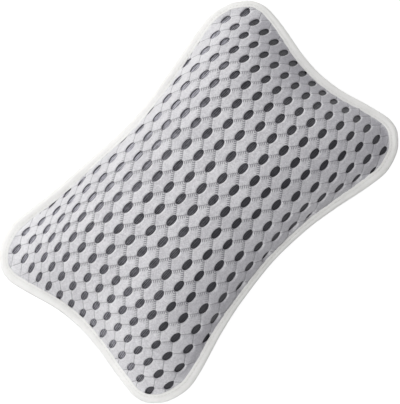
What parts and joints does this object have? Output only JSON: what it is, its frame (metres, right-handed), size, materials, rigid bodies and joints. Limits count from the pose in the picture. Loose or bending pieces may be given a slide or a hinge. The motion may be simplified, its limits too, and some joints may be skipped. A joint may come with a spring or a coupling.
{
  "type": "bath pillow",
  "caption": "Bone-shaped stuffed bath pillow of open spacer mesh with a bound edge, held to the tub by suction cups that swivel in eyelets on its back.",
  "frame": {"origin": "middle of the pillow's outline, on the plane of the suction-cup rims it rests on", "axes": "+X along the pillow's length, +Y across its width, +Z out of the front face that the head rests on"},
  "size_m": [0.2994, 0.19, 0.086],
  "materials": {
    "mesh_face": "matte",
    "mesh_base": "matte",
    "binding_tape": "matte",
    "core_foam": "matte",
    "wadding": "matte",
    "patch_cloth": "matte",
    "eyelet_plastic": "satin",
    "cup_vinyl": "gloss"
  },
  "bodies": {
    "pillow": {"front_mesh_face": "mesh_face", "front_mesh_base": "mesh_base", "rear_mesh_face": "mesh_face", "rear_mesh_base": "mesh_base", "edge_binding": "binding_tape", "foam_core": "core_foam", "front_wadding": "wadding", "rear_wadding": "wadding", "cup_patch_1": "patch_cloth", "cup_patch_2": "patch_cloth", "cup_patch_3": "patch_cloth", "cup_patch_4": "patch_cloth", "cup_eyelet_1": "eyelet_plastic", "cup_eyelet_2": "eyelet_plastic", "cup_eyelet_3": "eyelet_plastic", "cup_eyelet_4": "eyelet_plastic", "cup_washer_1": "eyelet_plastic", "cup_washer_2": "eyelet_plastic", "cup_washer_3": "eyelet_plastic", "cup_washer_4": "eyelet_plastic"},
    "cup_1": {"suction_cup_1": "cup_vinyl"},
    "cup_2": {"suction_cup_2": "cup_vinyl"},
    "cup_3": {"suction_cup_3": "cup_vinyl"},
    "cup_4": {"suction_cup_4": "cup_vinyl"}
  },
  "joints": [
    {"name": "cup_1_swivel", "type": "hinge", "parent": "pillow", "child": "cup_1", "pos_m": [0.075, 0.036, 0.0166], "axis": [0, 0, 1], "continuous": true},
    {"name": "cup_2_swivel", "type": "hinge", "parent": "pillow", "child": "cup_2", "pos_m": [-0.075, 0.036, 0.0166], "axis": [0, 0, 1], "continuous": true},
    {"name": "cup_3_swivel", "type": "hinge", "parent": "pillow", "child": "cup_3", "pos_m": [-0.075, -0.036, 0.0166], "axis": [0, 0, 1], "continuous": true},
    {"name": "cup_4_swivel", "type": "hinge", "parent": "pillow", "child": "cup_4", "pos_m": [0.075, -0.036, 0.0166], "axis": [0, 0, 1], "continuous": true}
  ]
}
